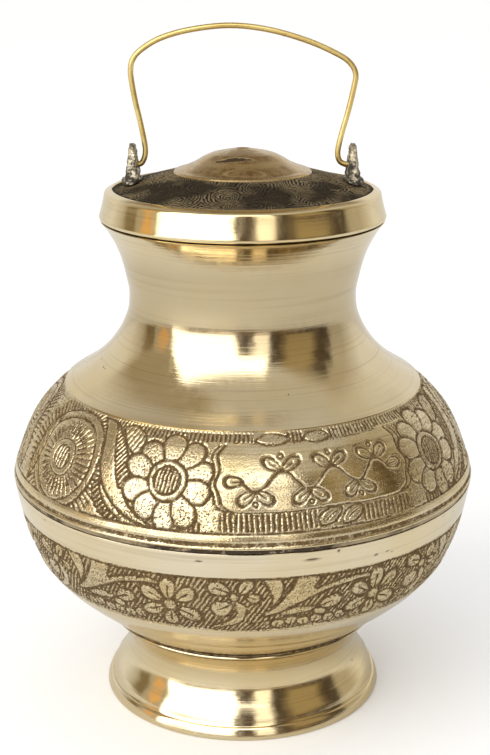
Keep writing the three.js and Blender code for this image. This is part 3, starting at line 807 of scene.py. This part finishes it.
def fern_pattern(around, across, line):
    """Fern curls: fine nested arcs round scattered centres, close set, in a dark ground."""
    out = np.interp(across, run_along(line), line[:, 0])
    x, y = out * np.sin(np.radians(around)), -out * np.cos(np.radians(around))
    drift_x = 1.5 * swell(x, y, 5.5, FLAT_LOOP, 5) + 0.4 * swell(x, y, 1.3, FLAT_LOOP, 6)
    drift_y = 1.5 * swell(x, y, 5.5, FLAT_LOOP, 7) + 0.4 * swell(x, y, 1.3, FLAT_LOOP, 4)
    x, y = x + drift_x, y + drift_y
    rng = np.random.default_rng(5)
    nearest = np.full(x.shape, WHEREVER)
    arcs = np.zeros(x.shape)
    for k in range(FERNS):
        turn = math.tau * (k + rng.uniform(-0.3, 0.3)) / FERNS
        reach = 24.8 + (4.6, -4.4, 0.2)[k % 3] + rng.uniform(-1.2, 1.2)
        size = rng.uniform(0.7, 1.4)
        gap = np.hypot(x - reach * math.sin(turn), y + reach * math.cos(turn))
        angle = np.arctan2(y + reach * math.cos(turn), x - reach * math.sin(turn))
        swirl = np.sin(gap * 7.8 + (2 if k % 2 else -2) * angle + rng.uniform(0, 6))
        arcs = np.where(gap * size < nearest, swirl, arcs)
        nearest = np.minimum(gap * size, nearest)
    cut = np.clip(0.6 - arcs + 0.6 * swell(x, y, 0.6, FLAT_LOOP, 8), 0, 1)
    ragged = 0.45 + 0.5 * np.abs(swell(around, across, 2.2, 360.0, 9))
    cut = np.maximum(cut, within(across - ragged, 0.2))
    return cut, np.maximum(cut, 0.25)


def dent_pattern(around, across, line):
    """The dirty centre mark, a short curved dent in front of it, and a faint dark oval ring further out in
    front.
    """
    out = np.interp(across, run_along(line), line[:, 0])
    x, y = out * np.sin(np.radians(around)), -out * np.cos(np.radians(around))
    along = np.clip((x + 2.2) / 4.8, -1, 1)
    middle = 0.8 * along**2 * (along < 0) - 8.6
    gap = np.hypot(np.maximum(np.abs(x + 2.2) - 4.8, 0), y - middle) - 0.75 * (1 - along**2)
    ring = (np.hypot((x - 0.6) / 4.8, (y + 13.7) / 1.5) - 1) * 1.5
    oval_ring = stroke(ring, 0.04, 0.2) * (0.45 + 0.35 * swell(x, y, 1.2, FLAT_LOOP, 8))
    dark = within(gap - 0.15 + 0.25 * swell(x, y, 0.9, FLAT_LOOP, 3), 0.2)
    dark_marks = np.maximum(np.maximum(dark, oval_ring), within(out - 1.35, 0.25))
    return within(gap, 0.3) * within(2 - out), dark_marks


f = Finish("dark_chased_disc")
grain = f.noise(1500.0, 4.0)
patches = f.noise(70.0, 3.0)
ragged = f.math("ADD", f.attribute("filler"), f.ramp(grain, 0.3, 0.7, -0.25, 0.25))
dark = f.math("MAXIMUM", f.ramp(ragged, 0.05, 0.72), f.ramp(patches, 0.37, 0.60, 0.12, 0.95))
deep = f.blend(f.ramp(grain, 0.35, 0.7), (0.009, 0.006, 0.004), (0.028, 0.020, 0.012))
color = f.blend(dark, (0.39, 0.30, 0.165), deep)
normal = f.bump(grain, 0.00012, 0.8)
f.shader.inputs["IOR"].default_value = 1.15
disc_finish = f.wear(color, f.ramp(dark, 0.0, 1.0, 0.34, 0.6), normal, f.ramp(dark, 0.0, 1.0, 0.95, 0.1))

lid_finish = lathe_polish("turned_lid_brass", 0.000026, 0.12, (0.80, 0.68, 0.43), (0.76, 0.60, 0.31))
rim = turned("lid_rim", smooth_outline(lid_rim, 0.5) + lid_bevel + lid_skirt, LID_STEPS)
fit(rim, lid_finish, "lid_cap", "lid")
dome_line = np.array(smooth_outline(dome_side, 0.22))
dome_wall = [tuple(p) for p in dome_line] + dome_top + lid_under
dome = turned("lid_dome", dome_wall, DOME_STEPS, carved=len(dome_line))
chase(dome, dome_line, dent_pattern, DENT_DEPTH)
dome_finish = lathe_polish("spun_dome_brass", 0.000016, 0.26, (0.64, 0.48, 0.26), (0.40, 0.28, 0.13))
fit(dome, dome_finish, "lid_cap", "lid")
disc_line = np.array(smooth_outline(lid_disc, 0.2))
disc_wall = [tuple(p) for p in disc_line] + [(17.3, 137.2), (32.3, 133.15)]
disc = turned("lid_disc", disc_wall, DISC_STEPS, carved=len(disc_line))
chase(disc, disc_line, fern_pattern, FERN_DEPTH)
fit(disc, disc_finish, "lid_cap", "lid")
refinish("lid_thread_plug", thread_finish)

# ---------------------------------------------------------------- Ears
# Two lugs left rough from the sand mould, riveted through the lid. A hole in
# each takes an end of the bail.
EAR_X = 27.5
EAR_GRAIN = 0.00024
EAR_BASE_Z = 0.1368
EAR_LUMPS = ((900, 0.00022), (2300, 0.00014))
EAR_TAPER_Z = (EAR_BASE_Z, 0.1385, 0.1420, 0.1462)
EAR_TAPER = (1.0, 1.12, 0.92, 0.66)
f = Finish("sand_cast_brass")
lumps = f.noise(520.0, 4.0, rough=0.65)
fine = f.noise(1700.0, 3.0)
shade = f.math("ADD", f.math("MULTIPLY", lumps, 0.6), f.math("MULTIPLY", fine, 0.4))
shade = f.math("SUBTRACT", shade, f.ramp(f.height(), EAR_BASE_Z, 0.1400, 0.07, 0.0))
color = f.blend(f.ramp(shade, 0.45, 0.57), (0.030, 0.024, 0.016), (0.62, 0.55, 0.41))
rough = f.ramp(shade, 0.4, 0.6, 0.65, 0.3)
ear_finish = f.wear(color, rough, f.bump(fine, 0.00025), f.ramp(shade, 0.42, 0.55, 0.15, 1.0))
for name in ("ear_left", "ear_right"):
    bm = bmesh.new()
    bm.from_mesh(nodes[name].data)
    bmesh.ops.remove_doubles(bm, verts=bm.verts, dist=SAME_PLACE)
    ear = finished("cast_" + name, bm, 180)
    remesh = ear.modifiers.new("grain", "REMESH")
    remesh.mode = "VOXEL"
    remesh.voxel_size = EAR_GRAIN
    cast = bpy.data.meshes.new_from_object(ear.evaluated_get(bpy.context.evaluated_depsgraph_get()))
    ear.modifiers.clear()
    ear.data = cast
    bm = bmesh.new()
    bm.from_mesh(cast)
    bmesh.ops.smooth_vert(bm, verts=bm.verts, factor=0.5, use_axis_x=True, use_axis_y=True, use_axis_z=True)
    bm.normal_update()
    middle = math.copysign(EAR_X * MM, sum(v.co.x for v in bm.verts))
    for v in [v for v in bm.verts if v.co.z > EAR_BASE_Z]:
        narrow = np.interp(v.co.z, EAR_TAPER_Z, EAR_TAPER)
        v.co.x = middle + (v.co.x - middle) * narrow
        v.co += v.normal * sum(tall * noise.noise(v.co * close) for close, tall in EAR_LUMPS)
    bm.to_mesh(cast)
    bm.free()
    cast.shade_smooth()
    fit(ear, ear_finish, name, "lid")

# ---------------------------------------------------------------- Bail
# One length of drawn brass wire, bent by hand. Its ends turn out into the ears.
WIRE_R = 0.7
WIRE_SIDES = 16
bail_points = [
    (-28.3, 140.9), (-26.4, 140.9), (-25.3, 141.25), (-24.55, 142.6), (-24.25, 144.5),
    (-24.55, 147.0), (-25.5, 151.9), (-26.6, 156.8), (-27.4, 161.7), (-27.55, 164.1),
    (-27.05, 166.5), (-25.1, 168.85), (-20.2, 171.75), (-12.85, 173.8), (-3.1, 174.82),
    (6.65, 173.75), (16.45, 170.95), (23.85, 167.65), (26.6, 165.6), (27.8, 163.2), (27.55, 160.5),
    (26.2, 154.35), (24.85, 149.4), (23.85, 145.2), (23.75, 143.2), (24.3, 141.7), (25.5, 141.0),
    (26.6, 140.9), (28.3, 140.9)]
bm = bmesh.new()
path = smooth_outline(bail_points, 0.5)
loops = []
for k, (px, pz) in enumerate(path):
    (rx, rz), (qx, qz) = path[max(k - 1, 0)], path[min(k + 1, len(path) - 1)]
    lean = Matrix.Rotation(-math.atan2(qz - rz, qx - rx), 4, "Y") @ Matrix.Rotation(math.pi / 2, 4, "Y")
    place = Matrix.Translation((px * MM, 0, pz * MM)) @ lean
    ring = bmesh.ops.create_circle(bm, segments=WIRE_SIDES, radius=WIRE_R * MM, matrix=place)["verts"]
    loops.append(list({e for v in ring for e in v.link_edges}))
for a, b in zip(loops, loops[1:]):
    bmesh.ops.bridge_loops(bm, edges=a + b)
bmesh.ops.holes_fill(bm, edges=[e for e in bm.edges if e.is_boundary], sides=0)
bail = finished("bent_bail", bm, 50)
f = Finish("drawn_wire_brass")
streaks = f.noise(700.0, 3.0)
wire_color = f.blend(f.ramp(f.noise(90.0, 3.0), 0.35, 0.7), (0.80, 0.64, 0.27), (0.62, 0.44, 0.15))
f.wear(wire_color, f.ramp(streaks, 0.3, 0.7, 0.24, 0.42), f.bump(streaks, 0.00003))
fit(bail, f.material, "bail_wire", "bail")

# ---------------------------------------------------------------- Floor, lights and camera
# A white floor in a light tent: a broad soft box on the left, darker room to
# the front right where the tent is open, and a soft top light. The metal sees
# the floor dimmer than it is, and the camera sees plain white for the tent.
SOFT_BOX = (3.2, 3.15, 3.05)
OPEN_SIDE = (0.10, 0.075, 0.052)
bpy.context.scene.view_settings.view_transform = "Standard"
bpy.ops.mesh.primitive_plane_add(size=24, location=(0, 0, 0))
floor = bpy.context.object
floor.name = "pale_floor"
f = Finish("pale_paper")
in_metal = f.node("ShaderNodeLightPath").outputs["Is Glossy Ray"]
paper = f.blend(in_metal, (0.91, 0.91, 0.91), (0.66, 0.65, 0.63))
floor.data.materials.append(f.wear(paper, f.ramp(f.noise(30.0), 0.3, 0.7, 0.6, 0.7), None, 0.0))

world = bpy.data.worlds.new("light_tent")
bpy.context.scene.world = world
world.use_nodes = True
tent = Wiring(world.node_tree)
aim = tent.node("ShaderNodeTexCoord").outputs["Generated"]
aim_x, aim_y, aim_z = tent.node("ShaderNodeSeparateXYZ", Vector=aim).outputs
around = tent.math("DEGREES", tent.math("ARCTAN2", aim_x, tent.math("MULTIPLY", aim_y, -1.0)))
above = tent.math("DEGREES", tent.math("ARCSINE", aim_z))
unrest = tent.node("ShaderNodeTexNoise", Vector=aim, Scale=9.0, Detail=3.0).outputs["Fac"]
shaken = tent.math("ADD", around, tent.ramp(unrest, 0.3, 0.7, -5.0, 5.0))


def patch(seen, a0, a1, low, high, color, edge=1.5, way=around):
    """Lays a coloured patch over what is seen, between two directions from the front and two heights."""
    sides = tent.math("MULTIPLY", tent.ramp(way, a0 - edge, a0 + edge), tent.ramp(way, a1 + edge, a1 - edge))
    ends = tent.math("MULTIPLY", tent.ramp(above, low - 3, low + 3), tent.ramp(above, high + 4, high - 4))
    return tent.blend(tent.math("MULTIPLY", sides, ends), seen, color)


seen = tent.blend(tent.ramp(above, 25, 60), (0.86, 0.84, 0.80), (0.63, 0.61, 0.58))
side = tent.math("ABSOLUTE", around)
seen = patch(seen, 152, 220, 28, 72, (0.25, 0.19, 0.12), 10, side)
seen = patch(seen, 60, 118, -5, 55, (0.52, 0.47, 0.38), 10, side)
seen = patch(seen, -130, -66, 26, 78, (0.42, 0.36, 0.26), 12)
seen = patch(seen, 26, 92, -8, 47, OPEN_SIDE, 2, shaken)
seen = patch(seen, 42, 74, 10, 50, (0.42, 0.33, 0.18), 4, shaken)
seen = patch(seen, -108, -94, 2, 24, (0.26, 0.20, 0.11), 2, shaken)
seen = patch(seen, -86, -77, 2, 24, (0.95, 0.56, 0.22), 2.5, shaken)
seen = patch(seen, -72, -5, -1, 57, SOFT_BOX, 1.0)
seen = patch(seen, 10, 26, -1, 42, (1.7, 1.6, 1.45), 1.0)
seen = patch(seen, -5, 10, -8, 36, (0.13, 0.10, 0.08), 1.5, shaken)
seen = patch(seen, -6, 26, 38, 57, SOFT_BOX, 1.0)
seen = patch(seen, -62, 60, -7, 6, (0.22, 0.14, 0.07), 6, shaken)
light = tent.node("ShaderNodeLightPath").outputs
spread = tent.blend(light["Is Diffuse Ray"], seen, (1.04, 1.04, 1.04))
spread = tent.blend(light["Is Camera Ray"], spread, (1.0, 1.0, 1.0))
tent.feed(tent.tree.nodes["Background"].inputs["Color"], spread)

key = bpy.data.lights.new("soft_key", "AREA")
key.shape = "RECTANGLE"
key.size, key.size_y, key.energy = 1.1, 0.9, 7.0
lamp = bpy.data.objects.new("soft_key", key)
bpy.context.scene.collection.objects.link(lamp)
lamp.location = (-0.75, -0.70, 0.85)
lamp.rotation_euler = (Vector((0, 0, 0.08)) - lamp.location).to_track_quat("-Z", "Y").to_euler()
lamp.visible_camera = False
lamp.visible_glossy = False

camera_data = bpy.data.cameras.new("camera")
camera_data.lens = 71.01
camera_data.shift_x = 0.00305
camera = bpy.data.objects.new("camera", camera_data)
bpy.context.scene.collection.objects.link(camera)
camera.location = (0, -0.3722, 0.1969)
camera.rotation_euler = (math.radians(90 - 16.7), 0, 0)
bpy.context.scene.camera = camera
